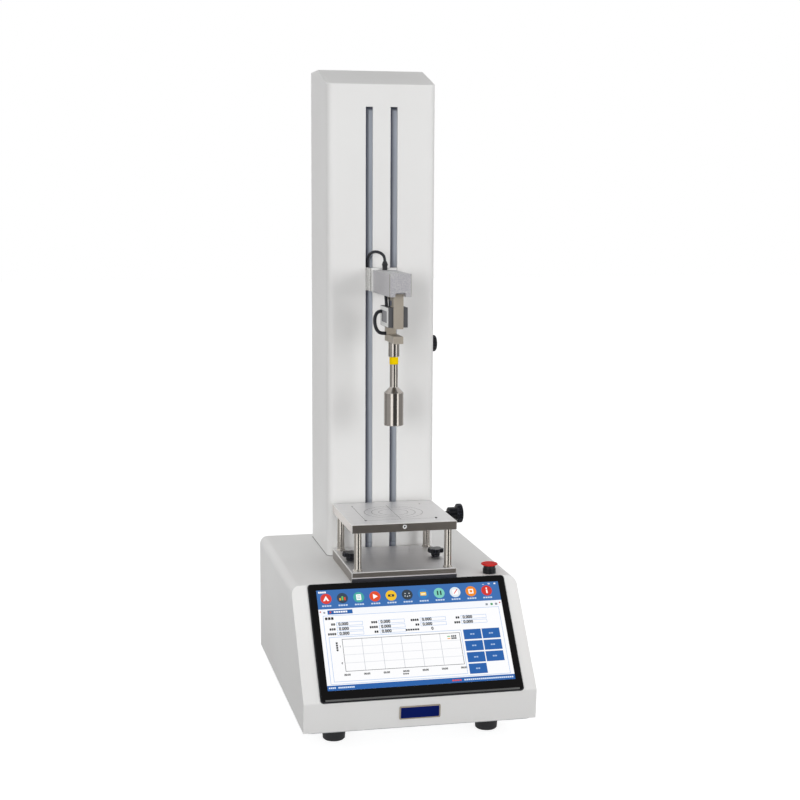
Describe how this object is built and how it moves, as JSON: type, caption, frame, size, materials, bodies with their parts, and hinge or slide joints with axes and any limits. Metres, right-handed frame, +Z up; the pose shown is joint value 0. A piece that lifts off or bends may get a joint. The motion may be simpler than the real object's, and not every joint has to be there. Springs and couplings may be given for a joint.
{
  "type": "food texture analyzer",
  "caption": "Bench texture analyzer with a sloped touch screen, a slotted column, a load-cell arm with a cylinder probe, and a raised steel sample platform.",
  "frame": {"origin": "on the bench, under the centre of the base's footprint", "axes": "+Z up, -Y to the operator's side with the display, +X to the operator's right"},
  "size_m": [0.276, 0.3796, 0.7908],
  "materials": {
    "housing_paint": "fine satin off-white coating",
    "plate_steel": "plain",
    "black_rubber": "matte",
    "screw_steel": "plain",
    "plate_blue": "blue coated face, bare rim",
    "display_black": "black",
    "display_glass": "clear over a black border",
    "black_plastic": "satin",
    "port_metal": "nickel plated",
    "case_aluminium": "plain",
    "board_green": "satin",
    "motor_black": "black",
    "frame_aluminium": "machined",
    "bearing_steel": "ground",
    "rod_chrome": "polished",
    "strip_grey": "blue-grey",
    "platform_steel": "fine brushed, scribed lines",
    "post_steel": "turned and polished",
    "bright_screw": "polished",
    "screw_shaft": "ground",
    "bracket_bright": "polished",
    "arm_aluminium": "bead blasted",
    "cell_nickel": "nickel plated",
    "cover_grey": "satin",
    "probe_steel": "polished",
    "ring_yellow": "gloss",
    "cable_black": "satin sheath",
    "estop_red": "gloss",
    "knob_black": "fine grain"
  },
  "bodies": {
    "base": {"base_housing": "housing_paint", "base_plate": "plate_steel", "rubber_feet": "black_rubber", "foot_screws": "screw_steel", "cover_screws": "screw_steel", "name_plate": "plate_blue", "display_frame": "display_black", "touch_glass": "display_glass", "lcd_module": "display_black", "estop_collar": "black_plastic", "estop_nut": "black_plastic", "estop_block": "black_plastic", "power_inlet": "black_plastic", "switch_frame": "black_plastic", "serial_port": "port_metal", "power_supply": "case_aluminium", "control_board": "board_green", "motor": "motor_black", "motor_mount": "frame_aluminium", "lower_bearing": "bearing_steel", "upper_bearing": "bearing_steel", "frame_low_plate": "frame_aluminium", "frame_top_plate": "frame_aluminium", "frame_spine": "frame_aluminium", "guide_rods": "rod_chrome", "dust_strips": "strip_grey", "column_cover": "housing_paint", "rear_cover": "housing_paint", "spacer_pads": "frame_aluminium", "lower_plate": "platform_steel", "platform_posts": "post_steel", "post_screws": "screw_steel", "top_plate": "platform_steel", "front_screw": "bright_screw"},
    "screw": {"drive_screw": "screw_shaft", "shaft_coupling": "case_aluminium", "motor_shaft": "screw_shaft"},
    "carriage": {"carriage_block": "frame_aluminium", "ball_nut": "screw_shaft", "linear_bushings": "bearing_steel", "limit_sensor": "black_plastic", "crosshead_bracket": "bracket_bright", "cell_arm": "arm_aluminium", "arm_bolt": "bright_screw", "load_cell": "cell_nickel", "cell_covers": "cover_grey", "probe_adaptor": "probe_steel", "marker_ring": "ring_yellow", "probe": "probe_steel", "cable_boot": "black_rubber", "carriage_cable": "cable_black", "cell_leads": "cable_black"},
    "stop_stem": {"estop_stem": "screw_steel"},
    "stop_head": {"estop_head": "estop_red"},
    "rocker": {"switch_rocker": "black_plastic"},
    "limit_stop": {"limit_stop": "frame_aluminium"},
    "limit_knob": {"limit_knob": "knob_black"},
    "clamp_knob": {"clamp_knob": "knob_black"},
    "left_knob": {"base_knob_left": "knob_black"},
    "right_knob": {"base_knob_right": "knob_black"}
  },
  "joints": [
    {"name": "carriage_slide", "type": "slide", "parent": "base", "child": "carriage", "axis": [0, 0, 1], "range_m": [-0.107, 0.18]},
    {"name": "screw_spin", "type": "hinge", "parent": "base", "child": "screw", "pos_m": [0, 0.1, 0.4], "axis": [0, 0, 1], "range_deg": [-12970, 7710]},
    {"name": "stop_press", "type": "slide", "parent": "base", "child": "stop_stem", "axis": [0, 0, -1], "range_m": [0, 0.003], "stiffness_N_per_m": 3000, "springref_m": -0.001},
    {"name": "stop_twist", "type": "hinge", "parent": "stop_stem", "child": "stop_head", "pos_m": [0.1095, -0.0798, 0.186], "axis": [0, 0, -1], "range_deg": [0, 45], "stiffness_Nm_per_rad": 0.03, "springref_deg": -11.46},
    {"name": "rocker_tip", "type": "hinge", "parent": "base", "child": "rocker", "pos_m": [-0.036, 0.1822, 0.07], "axis": [0, 0, 1], "range_deg": [-20, 0]},
    {"name": "limit_slide", "type": "slide", "parent": "base", "child": "limit_stop", "axis": [0, 0, 1], "range_m": [-0.16, 0.16]},
    {"name": "limit_knob_spin", "type": "hinge", "parent": "limit_stop", "child": "limit_knob", "pos_m": [0.069, 0.092, 0.443], "axis": [1, 0, 0], "range_deg": [0, 180]},
    {"name": "clamp_knob_spin", "type": "hinge", "parent": "base", "child": "clamp_knob", "pos_m": [0.069, -0.03, 0.2423], "axis": [1, 0, 0], "range_deg": [0, 360]},
    {"name": "left_knob_spin", "type": "hinge", "parent": "base", "child": "left_knob", "pos_m": [-0.054, -0.03, 0.1892], "axis": [0, 0, 1], "range_deg": [0, 360]},
    {"name": "right_knob_spin", "type": "hinge", "parent": "base", "child": "right_knob", "pos_m": [0.054, -0.03, 0.1892], "axis": [0, 0, 1], "range_deg": [0, 360]}
  ],
  "couplings": [
    {"joint": "screw_spin", "follows": "carriage_slide", "rad_per_m": -1256.6}
  ]
}
